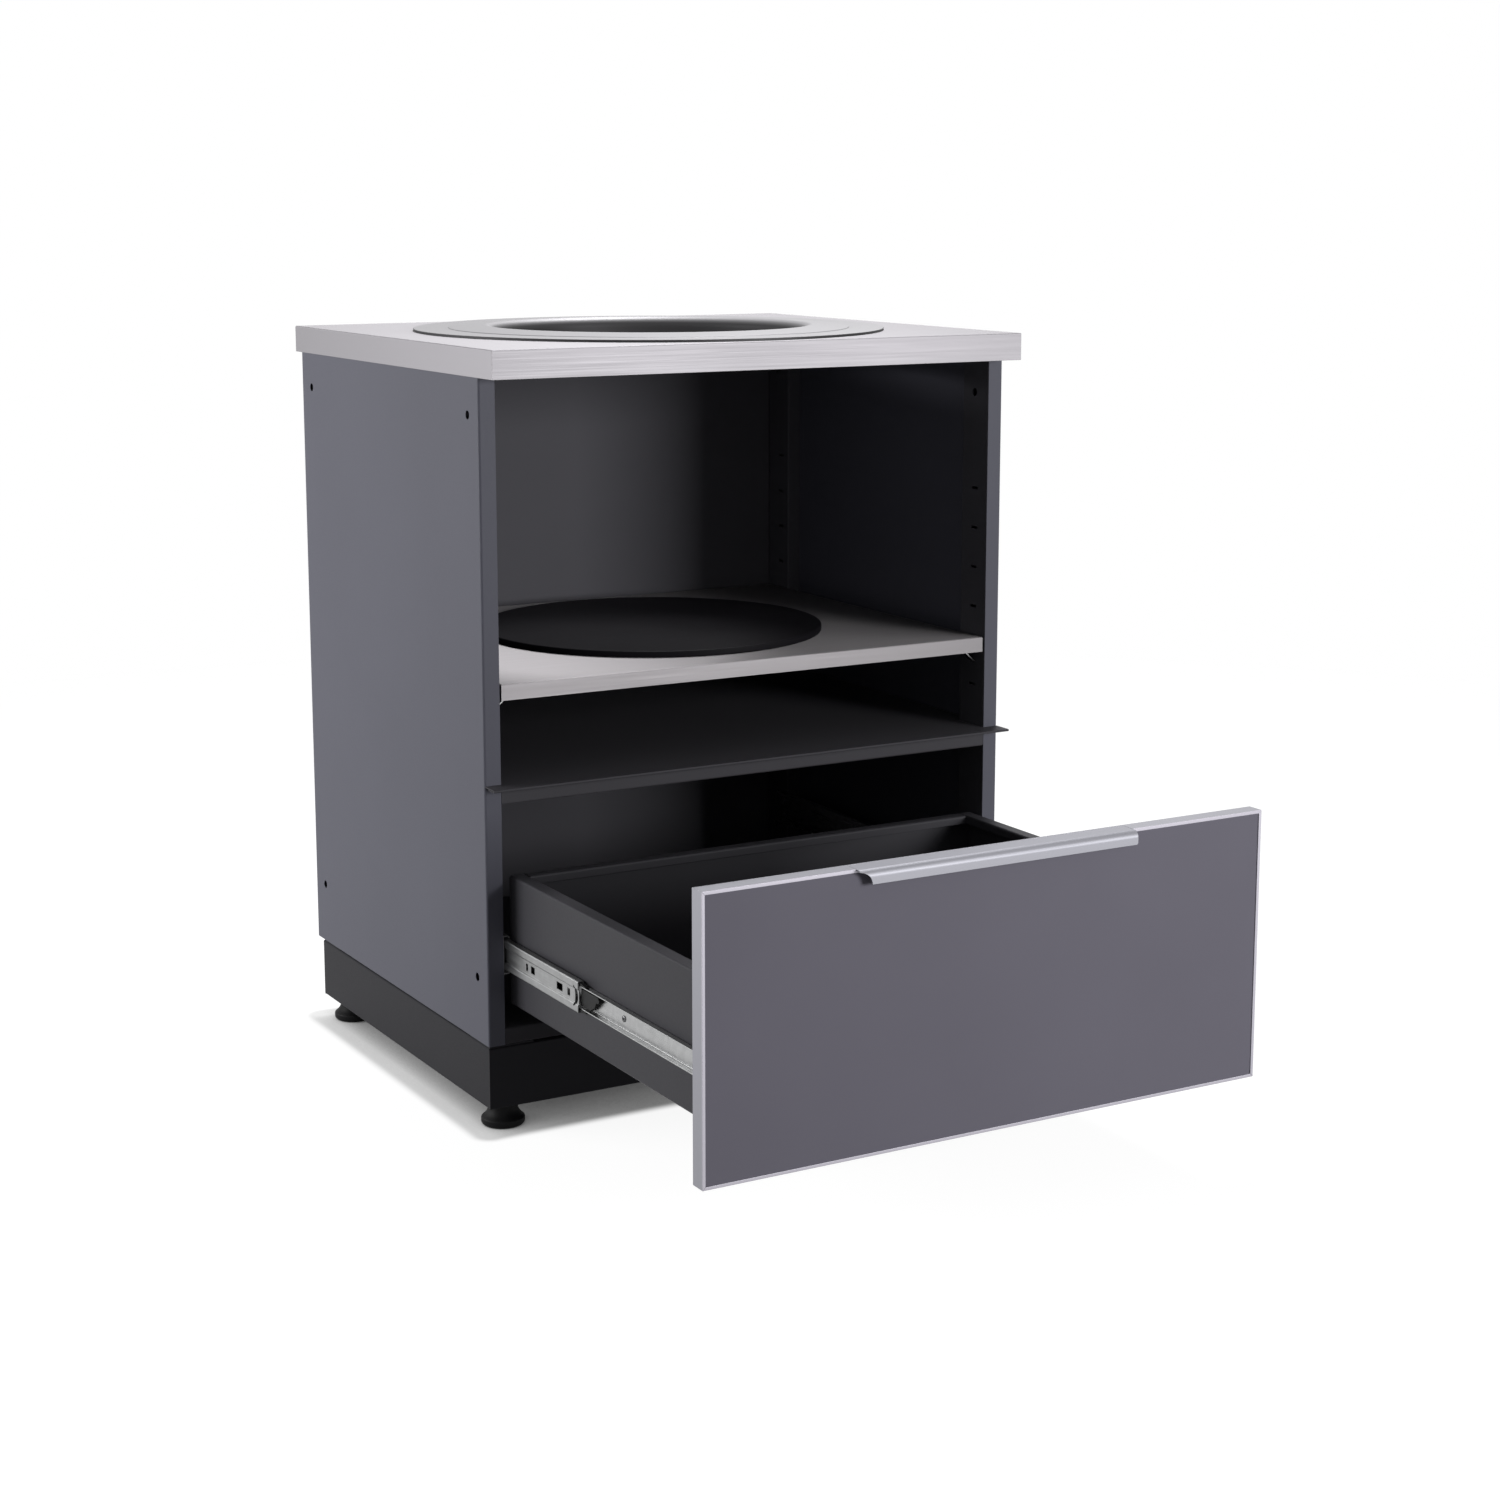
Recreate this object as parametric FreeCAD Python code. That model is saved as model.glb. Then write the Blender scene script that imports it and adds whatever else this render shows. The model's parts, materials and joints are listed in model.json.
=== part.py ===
import FreeCAD, Part
import math
import os

V = FreeCAD.Vector

# All sizes in millimetres. X runs to the right, Y to the back, Z up from the floor.
# The drawer stands open, and Y = 0 lies midway between its front and the worktop's back edge.

# Worktop
cabinet_width = 711.0
counter_depth = 610.0
counter_height = 914.0
counter_thickness = 33.0
counter_front_overhang = 39.0
counter_back_overhang = 20.0
counter_sheet = 1.2
counter_edge_radius = 1.5
counter_return = 20.0
stiffener_width = 30.0
stiffener_depth = 22.0

# Trim ring and the plate that the grill stands on
ring_outer_radius = 295.0
ring_bore_radius = 192.0
ring_sheet = 1.6
ring_rim_height = 3.2
ring_flange_width = 44.0
ring_crest_rise = 5.0
ring_roll_radius = 12.4
ring_collar_depth = 34.0
ring_hole_clearance = 4.4
heat_plate_radius = 218.5
heat_plate_thickness = 8.0
heat_plate_edge = 1.5

# Folded carcass
panel_sheet = 1.2
fold_radius = 1.5
fit_gap = 0.3
side_depth = 20.5
front_upright_width = 56.0
rear_upright_width = 64.0
back_inset = 14.0
floor_rail_height = 20.5
rail_return = 12.0
drawer_opening_height = 266.0
divider_rail_height = 22.8
divider_rail_depth = 25.0
lip_reach = 26.5
lip_hem_width = 16.0
lip_hem_gap = 0.5
lip_hem_fold = 0.1
top_rail_height = 25.0
top_rail_depth = 22.0

# Holes and shelf slots in the sides
joining_hole_radius = 5.0
joining_front_inset = 30.0
joining_back_inset = 33.0
joining_foot_inset = 77.5
joining_head_inset = 43.0
shelf_slot_width = 13.0
shelf_slot_height = 3.2
shelf_front_inset = 27.0
shelf_back_inset = 45.0
shelf_slot_rise = 52.0
shelf_slot_pitch = 50.0
shelf_slot_count = 6
shelf_slot_in_use = 1

# Grill shelf on four clips
shelf_sheet = 1.2
shelf_depth = 19.0
shelf_return = 10.0
shelf_edge_radius = 2.0
shelf_side_gap = 2.5
shelf_front_inset_from_face = 1.0
shelf_back_gap = 3.0
shelf_stiffener_width = 50.0
shelf_stiffener_depth = 14.0
shelf_stiffener_end_gap = 14.0
clip_sheet = 1.5
clip_gap = 0.2
clip_slot_height = 5.0
clip_ledge = 15.0
clip_brace_drop = 13.0
clip_brace_fold = 0.5
clip_tongue = 9.0

# Plinth and levelling feet
foot_clearance = 29.0
plinth_height = 75.0
plinth_back_inset = 20.0
plinth_flange = 18.0
shadow_gap = 1.5
post_leg = 56.0
post_sheet = 2.0
post_plate = 2.5
post_plate_lift = 3.0
foot_inset = 29.5
foot_pad_radius = 26.0
foot_pad_chamfer = 3.0
foot_pad_height = 9.0
foot_shoulder_radius = 20.0
foot_shoulder_height = 14.0
foot_neck_height = 22.0
foot_boss_radius = 17.0
foot_stop_gap = 0.2
foot_stem_radius = 5.0
foot_stem_length = 58.0
thread_clearance = 0.05
foot_nut_flats = 17.0
foot_nut_height = 8.0

# Drawer slides
slide_thickness = 12.7
slide_height = 46.0
slide_length = 500.0
slide_sheet = 1.2
slide_fold = 0.9
slide_rise = 87.0
slide_front_gap = 2.0
slide_outer_flange = 8.6
slide_outer_lip = 3.4
ball_radius = 1.75
ball_sides = 8
ball_clearance = 0.1
middle_web_inset = 2.0
middle_emboss = 1.4
middle_emboss_height = 15.5
middle_flange = 8.2
middle_lip = 3.5
middle_length = 420.0
middle_open_reach = 189.0
inner_flange = 7.9
inner_length = 500.0
cage_height = 1.6
cage_width = 3.2
cage_bore_clearance = 0.15
cage_end_gap = 12.0
balls_per_row = 2
outer_ball_depth = 5.4
inner_ball_depth = 7.0
guide_length = 23.0
guide_reach = 16.0
guide_nose_height = 1.2
latch_length = 44.0
latch_depth = 5.6
latch_height = 20.0
latch_rear_gap = 0.5
slot_height = 8.5
slot_starts = (22.0, 41.0, 113.0, 131.0)
slot_widths = (6.7, 15.0, 10.0, 5.0)
stop_slot_start = 1.8
stop_slot_width = 7.2
stop_slot_height = 24.0
stop_slot_bulge = 10.2

# Drawer box
drawer_travel = 488.0
closed_gap = 3.0
box_length = 500.0
box_height = 155.0
box_floor_gap = 25.0
box_sheet = 1.2
box_top_flange = 18.0
box_top_return = 10.0
box_foot_flange = 12.0

# Drawer front
front_side_gap = 1.0
front_drop = 4.0
front_head_gap = 4.8
front_thickness = 20.5
frame_wall = 1.6
frame_top_wall = 3.2
frame_lip_width = 3.6
frame_lip_thickness = 1.2
face_sheet = 3.0
liner_sheet = 1.0
pull_width = 351.0
pull_sheet = 1.8
pull_drop = 15.5
pull_reach = 10.0
pull_fold = 6.0
pull_back_gap = 2.0
pull_cove_radius = 13.2
pull_corner_radius = 2.5
bumper_size = 10.0
bumper_edge_inset = 9.0
bumper_height_inset = 24.0

# Levels and planes that follow from the sizes above
counter_underside = counter_height - counter_thickness
counter_reach = counter_depth - counter_front_overhang
drawer_reach = closed_gap + drawer_travel + front_thickness + pull_reach
face = (drawer_reach - counter_reach) / 2.0
back = face + counter_reach - counter_back_overhang
counter_front = face - counter_front_overhang
counter_back = face + counter_reach
grill_center = (counter_front + counter_back) / 2.0

outer_side = cabinet_width / 2.0
skin_inside = outer_side - panel_sheet
inner_side = outer_side - side_depth
deck_half = inner_side - fit_gap
back_face = back - back_inset
front_upright_end = face + front_upright_width
rear_upright_start = back - rear_upright_width

plinth_foot = foot_clearance
plinth_top = plinth_foot + plinth_height
plinth_back_face = back - plinth_back_inset
carcass_foot = plinth_top + shadow_gap
carcass_height = counter_underside - carcass_foot
floor_top = carcass_foot + floor_rail_height
divider_rail_foot = floor_top + drawer_opening_height
divider_underside = divider_rail_foot + divider_rail_height
divider_top = divider_underside + panel_sheet

joining_rows = (face + joining_front_inset, back - joining_back_inset)
joining_heights = (carcass_foot + joining_foot_inset, counter_underside - joining_head_inset)
shelf_slot_rows = (face + shelf_front_inset, back - shelf_back_inset)
shelf_slot_first = divider_top + shelf_slot_rise
shelf_slot_heights = [shelf_slot_first + shelf_slot_pitch * step for step in range(shelf_slot_count)]
shelf_foot = shelf_slot_heights[shelf_slot_in_use] - clip_slot_height
shelf_top = shelf_foot + shelf_depth
shelf_half = inner_side - shelf_side_gap
shelf_front = face + shelf_front_inset_from_face
shelf_back = back_face - shelf_back_gap

box_half = inner_side - slide_thickness
box_foot = floor_top + box_floor_gap
box_top = box_foot + box_height
front_back = face - closed_gap - drawer_travel
front_face = front_back - front_thickness
front_width = cabinet_width - 2.0 * front_side_gap
front_half = front_width / 2.0
front_foot = carcass_foot - front_drop
front_top = divider_underside - front_head_gap
front_height = front_top - front_foot
box_back = front_back + box_length
panel_front = front_face + frame_lip_thickness
core_front = panel_front + face_sheet
core_back = front_back - liner_sheet

slide_center = floor_top + slide_rise
outer_flange_face = slide_height / 2.0 - slide_sheet
ball_space = 2.0 * (ball_radius + ball_clearance)
middle_half = outer_flange_face - ball_space
middle_flange_face = middle_half - slide_sheet
inner_half = middle_flange_face - ball_space
slide_front = face + slide_front_gap
middle_front = face - middle_open_reach
middle_back = middle_front + middle_length
inner_back = front_back + inner_length


# Drawing planes: each turns a sketch point into a place in space

def plan_at(z):
    return lambda p, q: V(p, q, z)


def side_view_at(x):
    return lambda p, q: V(x, p, q)


def front_view_at(y):
    return lambda p, q: V(p, y, q)


def unit(a, b):
    length = math.hypot(b[0] - a[0], b[1] - a[1])
    return ((b[0] - a[0]) / length, (b[1] - a[1]) / length)


def corner_arc(before, corner, after, radius):
    # Tangent points and midpoint of the arc that rounds one corner of a sketch line
    to_before = unit(corner, before)
    to_after = unit(corner, after)
    half = math.acos(to_before[0] * to_after[0] + to_before[1] * to_after[1]) / 2.0
    reach = radius / math.tan(half)
    inward = unit((0.0, 0.0), (to_before[0] + to_after[0], to_before[1] + to_after[1]))
    depth = radius / math.sin(half) - radius
    entry = (corner[0] + to_before[0] * reach, corner[1] + to_before[1] * reach)
    middle = (corner[0] + inward[0] * depth, corner[1] + inward[1] * depth)
    leave = (corner[0] + to_after[0] * reach, corner[1] + to_after[1] * reach)
    return entry, middle, leave


def line(a, b, place):
    return Part.LineSegment(place(*a), place(*b)).toShape()


def rounded_line(points, radii, place):
    # Straight runs joined by tangent arcs
    edges = []
    start = points[0]
    for before, corner, after, radius in zip(points, points[1:], points[2:], radii):
        entry, middle, leave = corner_arc(before, corner, after, radius)
        edges.append(line(start, entry, place))
        if radius > 0.0:
            edges.append(Part.Arc(place(*entry), place(*middle), place(*leave)).toShape())
        start = leave
    edges.append(line(start, points[-1], place))
    return edges


def offset_line(points, distance):
    # The same line moved sideways, to its left for a positive distance
    ways = [unit(a, b) for a, b in zip(points, points[1:])]
    normals = [(-way[1], way[0]) for way in ways]
    moved = [(points[0][0] + normals[0][0] * distance, points[0][1] + normals[0][1] * distance)]
    for corner, a, b in zip(points[1:], normals, normals[1:]):
        share = distance / (1.0 + a[0] * b[0] + a[1] * b[1])
        moved.append((corner[0] + (a[0] + b[0]) * share, corner[1] + (a[1] + b[1]) * share))
    end = points[-1]
    moved.append((end[0] + normals[-1][0] * distance, end[1] + normals[-1][1] * distance))
    return moved


def turns_left(before, corner, after):
    a = unit(before, corner)
    b = unit(corner, after)
    return a[0] * b[1] - a[1] * b[0] > 0.0


def sheet_face(points, thickness, folds, place):
    # Section of a folded sheet: a line of faces, its thickness to the left, or right if negative.
    # Each fold is an inside radius, or None for a sharp corner.
    corners = list(zip(points, points[1:], points[2:]))
    wall = abs(thickness)
    near_radii = []
    far_radii = []
    for corner, fold in zip(corners, folds):
        toward = turns_left(*corner) == (thickness > 0.0)
        inner = 0.0 if fold is None else fold
        outer = 0.0 if fold is None else fold + wall
        near_radii.append(outer if toward else inner)
        far_radii.append(inner if toward else outer)
    other = offset_line(points, thickness)
    edges = rounded_line(points, near_radii, place) + rounded_line(other, far_radii, place)
    edges.append(line(points[0], other[0], place))
    edges.append(line(points[-1], other[-1], place))
    return Part.Face(Part.Wire(Part.__sortEdges__(edges)))


def folded_sheet(points, thickness, fold, place, run):
    folds = [fold] * (len(points) - 2)
    return sheet_face(points, thickness, folds, place).extrude(run)


def outline_face(points, place):
    return Part.Face(Part.makePolygon([place(*point) for point in points + points[:1]]))


def block(low, high):
    return Part.makeBox(high[0] - low[0], high[1] - low[1], high[2] - low[2], V(*low))


def fuse(first, *others):
    return first.fuse(list(others)).removeSplitter()


def mirrored(shape):
    return shape.mirror(V(0, 0, 0), V(1, 0, 0))


def cross_hole(radius, start, length, y, z):
    # Cutter for a round hole along X
    return Part.makeCylinder(radius, length, V(start, y, z), V(1, 0, 0))


def edges_on(shape, test):
    return [edge for edge in shape.Edges if all(test(vertex.Point) for vertex in edge.Vertexes)]


def near(a, b):
    return abs(a - b) < 1e-6


def pan(low, high, wall, lip, edge_radius):
    # Sheet pan turned upside down, with an inward return along the foot of each apron
    outer = block(low, high)
    top_edges = edges_on(outer, lambda point: near(point.z, high[2]))
    outer = outer.makeFillet(edge_radius, top_edges)
    cavity = block([value + wall for value in low], [value - wall for value in high])
    mouth_low = (low[0] + lip, low[1] + lip, low[2] - wall)
    mouth_high = (high[0] - lip, high[1] - lip, low[2] + 2.0 * wall)
    return outer.cut([cavity, block(mouth_low, mouth_high)])


# Carcass

def side_panel():
    line_of_skin = [(inner_side, face), (outer_side, face), (outer_side, back), (inner_side, back)]
    height = V(0, 0, carcass_height)
    panel = folded_sheet(line_of_skin, panel_sheet, fold_radius, plan_at(carcass_foot), height)
    holes = [cross_hole(joining_hole_radius, skin_inside - fold_radius, side_depth, y, z)
             for y in joining_rows for z in joining_heights]
    return panel.cut(holes)


def upright(flange, web, joining_row, shelf_row):
    # Channel open towards the skin: its flange lies on the side panel's flange, its web meets the skin
    flange_tip = skin_inside - fold_radius - fit_gap
    section = [(flange_tip, flange), (inner_side, flange), (inner_side, web), (skin_inside, web)]
    wall = panel_sheet if flange > web else -panel_sheet
    channel = folded_sheet(section, wall, fold_radius, plan_at(carcass_foot), V(0, 0, carcass_height))
    start = inner_side - panel_sheet
    depth = 3.0 * panel_sheet
    holes = [cross_hole(joining_hole_radius, start, depth, joining_row, z) for z in joining_heights]
    half_width = shelf_slot_width / 2.0
    half_height = shelf_slot_height / 2.0
    holes += [block((start, shelf_row - half_width, z - half_height),
                    (start + depth, shelf_row + half_width, z + half_height)) for z in shelf_slot_heights]
    return channel.cut(holes)


def front_upright():
    return upright(face + panel_sheet, front_upright_end, joining_rows[0], shelf_slot_rows[0])


def rear_upright():
    return upright(back - panel_sheet, rear_upright_start, joining_rows[1], shelf_slot_rows[1])


def back_panel():
    flange_end = back - panel_sheet
    section = [(-deck_half, flange_end), (-deck_half, back_face),
               (deck_half, back_face), (deck_half, flange_end)]
    return folded_sheet(section, panel_sheet, fold_radius, plan_at(carcass_foot), V(0, 0, carcass_height))


def deck_outline(front):
    # Floor between the side skins, notched around the four uprights
    half = skin_inside
    notch_front = front_upright_end + fit_gap
    notch_back = rear_upright_start - fit_gap
    right = [(deck_half, front), (deck_half, notch_front), (half, notch_front),
             (half, notch_back), (deck_half, notch_back), (deck_half, back_face)]
    left = [(-x, y) for x, y in reversed(right)]
    return right + left


def bottom_panel():
    rail_end = face + rail_return
    section = [(back_face, floor_top), (face, floor_top), (face, carcass_foot), (rail_end, carcass_foot)]
    width = V(2.0 * deck_half, 0, 0)
    folded = folded_sheet(section, panel_sheet, fold_radius, side_view_at(-deck_half), width)
    outline = outline_face(deck_outline(front_upright_end), plan_at(floor_top - panel_sheet))
    return fuse(folded, outline.extrude(V(0, 0, panel_sheet)))


def divider_shelf():
    lip_front = face - lip_reach
    hem_foot = divider_top - 2.0 * panel_sheet - lip_hem_gap
    section = [(face, divider_top), (lip_front, divider_top),
               (lip_front, hem_foot), (lip_front + lip_hem_width, hem_foot)]
    lip = folded_sheet(section, panel_sheet, lip_hem_fold, side_view_at(-outer_side), V(cabinet_width, 0, 0))
    deck = outline_face(deck_outline(face), plan_at(divider_underside)).extrude(V(0, 0, panel_sheet))
    return fuse(lip, deck)


def channel_rail(front, depth, foot, top):
    # Rail across the cabinet, open to the back
    section = [(front + depth, top), (front, top), (front, foot), (front + depth, foot)]
    return folded_sheet(section, panel_sheet, fold_radius, side_view_at(-deck_half), V(2.0 * deck_half, 0, 0))


def divider_rail():
    return channel_rail(face, divider_rail_depth, divider_rail_foot, divider_underside)


def top_rear_rail():
    return channel_rail(back_face - top_rail_depth, top_rail_depth, counter_underside - top_rail_height,
                        counter_underside)


# Worktop

def countertop():
    low = (-outer_side, counter_front, counter_underside)
    high = (outer_side, counter_back, counter_height)
    tray = pan(low, high, counter_sheet, counter_return, counter_edge_radius)
    hole_radius = ring_bore_radius + ring_sheet + ring_hole_clearance
    hole_foot = V(0, grill_center, counter_underside + counter_sheet)
    return tray.cut(Part.makeCylinder(hole_radius, counter_thickness, hole_foot))


def countertop_stiffeners():
    # Two channels under the sheet, in front of the hole and behind it
    top = counter_height - counter_sheet
    foot = top - stiffener_depth
    half = outer_side - counter_sheet - fit_gap
    width = V(2.0 * half, 0, 0)
    stiffeners = []
    for edge, way in ((counter_front, 1.0), (counter_back, -1.0)):
        middle = edge + way * (counter_return + stiffener_width)
        front = middle - stiffener_width / 2.0
        rear = middle + stiffener_width / 2.0
        section = [(front, top), (front, foot), (rear, foot), (rear, top)]
        stiffeners.append(folded_sheet(section, counter_sheet, fold_radius, side_view_at(-half), width))
    return Part.makeCompound(stiffeners)


def trim_ring():
    # Spun sheet: turned-down rim, level flange, cone that climbs inwards, rolled crest and straight collar
    rim_top = counter_height + ring_rim_height
    crest = rim_top + ring_crest_rise
    crease = ring_outer_radius - ring_flange_width
    collar_foot = counter_height - ring_collar_depth
    section = [(ring_outer_radius, counter_height), (ring_outer_radius, rim_top), (crease, rim_top),
               (ring_bore_radius, crest), (ring_bore_radius, collar_foot)]
    place = lambda radius, height: V(radius, grill_center, height)
    under = offset_line(section, ring_sheet)
    # The side of the roll that the worktop hides is bent in three straight stretches
    hidden = under[:3] + list(corner_arc(*under[2:], ring_roll_radius)) + under[4:]
    hidden = [section[0]] + hidden + [section[-1]]
    edges = rounded_line(section, [0.0, 0.0, ring_roll_radius + ring_sheet], place)
    edges += [line(a, b, place) for a, b in zip(hidden, hidden[1:])]
    profile = Part.Face(Part.Wire(Part.__sortEdges__(edges)))
    return profile.revolve(V(0, grill_center, 0), V(0, 0, 1), 360)


# Grill shelf

def grill_shelf():
    low = (-shelf_half, shelf_front, shelf_foot)
    high = (shelf_half, shelf_back, shelf_top)
    return pan(low, high, shelf_sheet, shelf_return, shelf_edge_radius)


def shelf_stiffener():
    top = shelf_top - shelf_sheet
    foot = top - shelf_stiffener_depth
    front = grill_center - shelf_stiffener_width / 2.0
    rear = grill_center + shelf_stiffener_width / 2.0
    half = shelf_half - shelf_stiffener_end_gap
    section = [(front, top), (front, foot), (rear, foot), (rear, top)]
    return folded_sheet(section, shelf_sheet, fold_radius, side_view_at(-half), V(2.0 * half, 0, 0))


def shelf_clips():
    # Bent strip: tongue in the slot, leg down the upright, ledge under the shelf, brace back to the upright
    leg_face = inner_side - clip_gap
    slot_foot = shelf_foot + clip_slot_height - shelf_slot_height / 2.0
    tongue_foot = slot_foot + clip_gap
    ledge_foot = shelf_foot - clip_sheet
    section = [(leg_face + clip_tongue, tongue_foot), (leg_face, tongue_foot), (leg_face, ledge_foot),
               (leg_face - clip_ledge, ledge_foot), (leg_face, ledge_foot - clip_brace_drop)]
    width = shelf_slot_width - 2.0 * fit_gap
    clips = []
    for row in shelf_slot_rows:
        place = front_view_at(row - width / 2.0)
        clip = sheet_face(section, -clip_sheet, [None, None, clip_brace_fold], place).extrude(V(0, width, 0))
        clips += [clip, mirrored(clip)]
    return Part.makeCompound(clips)


def heat_plate():
    plate = Part.makeCylinder(heat_plate_radius, heat_plate_thickness, V(0, grill_center, shelf_top))
    rims = [edge for edge in plate.Edges if edge.Closed]
    return plate.makeChamfer(heat_plate_edge, rims)


# Plinth and feet

def plinth_channel(length, turn, start_x, start_y):
    # Face sheet with a flange at head and foot; the flanges stop short of the corner posts
    section = [(plinth_flange, plinth_top), (0.0, plinth_top),
               (0.0, plinth_foot), (plinth_flange, plinth_foot)]
    channel = folded_sheet(section, panel_sheet, fold_radius, side_view_at(0.0), V(length, 0, 0))
    trim = panel_sheet + post_leg + fit_gap
    ends = [block((start, panel_sheet, plinth_foot), (start + trim, plinth_flange, plinth_top))
            for start in (0.0, length - trim)]
    channel = channel.cut(ends)
    channel.Placement = FreeCAD.Placement(V(start_x, start_y, 0), FreeCAD.Rotation(V(0, 0, 1), turn))
    return channel


def plinth_front():
    return plinth_channel(cabinet_width, 0.0, -outer_side, face)


def plinth_back():
    return plinth_channel(cabinet_width, 180.0, outer_side, plinth_back_face)


def plinth_left():
    start = plinth_back_face - panel_sheet
    return plinth_channel(start - face - panel_sheet, -90.0, -outer_side, start)


corner_rows = ((face, 1.0), (plinth_back_face, -1.0))


def corner_box(row, way, near_x, far_x, near_y, far_y, low, high):
    # Block in a left corner, measured inwards from the plinth's outer faces
    ys = sorted((row + way * near_y, row + way * far_y))
    return block((-outer_side + near_x, ys[0], low), (-outer_side + far_x, ys[1], high))


def plinth_corner_posts():
    # Angle in each corner, with a head plate under the carcass and a foot plate for the levelling foot
    plate_foot = plinth_foot + post_plate_lift
    posts = []
    for row, way in corner_rows:
        reach = panel_sheet + post_leg
        wall = panel_sheet + post_sheet
        along_front = corner_box(row, way, panel_sheet, reach, panel_sheet, wall, plate_foot, carcass_foot)
        along_side = corner_box(row, way, panel_sheet, wall, panel_sheet, reach, plate_foot, carcass_foot)
        foot_plate = corner_box(row, way, panel_sheet, reach, panel_sheet, reach, plate_foot,
                                plate_foot + post_plate)
        head_plate = corner_box(row, way, panel_sheet, reach, panel_sheet, reach, carcass_foot - post_plate,
                                carcass_foot)
        post = fuse(along_front, along_side, foot_plate, head_plate)
        bore = Part.makeCylinder(foot_stem_radius + fit_gap, post_plate + 2.0 * fit_gap,
                                 V(-outer_side + foot_inset, row + way * foot_inset, plate_foot - fit_gap))
        post = post.cut(bore)
        posts += [post, mirrored(post)]
    return Part.makeCompound(posts)


def foot_nuts():
    seat = plinth_foot + post_plate_lift + post_plate
    corner_radius = foot_nut_flats / math.sqrt(3.0)
    nuts = []
    for row, way in corner_rows:
        center = V(-outer_side + foot_inset, row + way * foot_inset, seat)
        corners = [center + V(corner_radius * math.cos(math.radians(60.0 * step)),
                              corner_radius * math.sin(math.radians(60.0 * step)), 0) for step in range(7)]
        hexagon = Part.Face(Part.makePolygon(corners)).extrude(V(0, 0, foot_nut_height))
        bore = Part.makeCylinder(foot_stem_radius + thread_clearance, foot_nut_height, center)
        nut = hexagon.cut(bore)
        nuts += [nut, mirrored(nut)]
    return Part.makeCompound(nuts)


def levelling_foot(x, y):
    # Pad with a flared neck, boss that stops at the foot plate, and threaded stem
    place = lambda radius, height: V(x + radius, y, height)
    boss_top = plinth_foot + post_plate_lift - foot_stop_gap
    stem_top = boss_top + foot_stem_length
    outline = [(0.0, 0.0), (foot_pad_radius - foot_pad_chamfer, 0.0), (foot_pad_radius, foot_pad_chamfer),
               (foot_pad_radius, foot_pad_height), (foot_shoulder_radius, foot_shoulder_height),
               (foot_boss_radius, foot_neck_height), (foot_boss_radius, boss_top),
               (foot_stem_radius, boss_top), (foot_stem_radius, stem_top), (0.0, stem_top)]
    return outline_face(outline, place).revolve(V(x, y, 0), V(0, 0, 1), 360)


# Telescopic slides: sections are drawn for the left side, from the upright towards the drawer

def slide_place(y):
    return lambda depth, height: V(-inner_side + depth, y, slide_center + height)


def rail(section, thickness, y, length):
    return folded_sheet(section, thickness, slide_fold, slide_place(y), V(0, length, 0))


def slide_cabinet_member():
    half = slide_height / 2.0
    tip = half - slide_outer_lip
    section = [(slide_outer_flange, tip), (slide_outer_flange, half), (0.0, half),
               (0.0, -half), (slide_outer_flange, -half), (slide_outer_flange, -tip)]
    return rail(section, slide_sheet, slide_front, slide_length)


def stop_slot(depth):
    # Crescent behind the front edge of the middle member, which leaves a springy stop in front of it
    place = lambda start, height: V(-inner_side, middle_front + start, slide_center + height)
    high = place(stop_slot_start + stop_slot_bulge, stop_slot_height / 2.0)
    low = place(stop_slot_start + stop_slot_bulge, -stop_slot_height / 2.0)
    nose = place(stop_slot_start, 0.0)
    hollow = place(stop_slot_start + stop_slot_width, 0.0)
    arcs = [Part.Arc(high, nose, low).toShape(), Part.Arc(low, hollow, high).toShape()]
    return Part.Face(Part.Wire(arcs)).extrude(V(depth, 0, 0))


def slide_middle_member():
    # Channel with an embossed web, pierced by slots and, at its front end, by the stop's crescent
    tip = middle_half - middle_lip
    lip = middle_web_inset + middle_flange
    step = middle_emboss_height / 2.0
    web = middle_web_inset + middle_emboss
    upper = [(lip, tip), (lip, middle_half), (middle_web_inset, middle_half),
             (middle_web_inset, step + middle_emboss), (web, step)]
    lower = [(depth, -height) for depth, height in reversed(upper)]
    member = rail(upper + lower, slide_sheet, middle_front, middle_length)
    depth = web + 2.0 * slide_sheet
    slots = [stop_slot(depth)]
    half = slot_height / 2.0
    for start, width in zip(slot_starts, slot_widths):
        front = middle_front + start
        slots.append(block((-inner_side, front, slide_center - half),
                           (-inner_side + depth, front + width, slide_center + half)))
    return member.cut(slots)


def slide_drawer_member():
    rear = slide_thickness
    tip = slide_thickness - inner_flange
    section = [(tip, -inner_half), (rear, -inner_half), (rear, inner_half), (tip, inner_half)]
    return rail(section, slide_sheet, front_back, inner_length)


def slide_end_guides():
    # Plastic blocks at the front of the middle member, above and below the drawer member, sloping to a nose
    low = inner_half + fit_gap
    high = middle_flange_face
    start = middle_web_inset + slide_sheet + slide_fold
    end = middle_web_inset + middle_flange - slide_sheet - fit_gap
    nose = middle_front - guide_reach
    corner = (high - low) / 3.0
    outline = [(start, low), (end, low), (end, high - corner), (end - corner, high), (start, high)]
    slope = [(middle_front, high), (nose, high), (nose, low + guide_nose_height)]
    along = lambda y, height: V(-inner_side, y, slide_center + height)
    upper = outline_face(outline, slide_place(nose)).extrude(V(0, guide_length, 0))
    upper = upper.cut(outline_face(slope, along).extrude(V(slide_thickness, 0, 0)))
    lower = upper.mirror(V(0, 0, slide_center), V(0, 0, 1))
    return Part.makeCompound([upper, lower])


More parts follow.
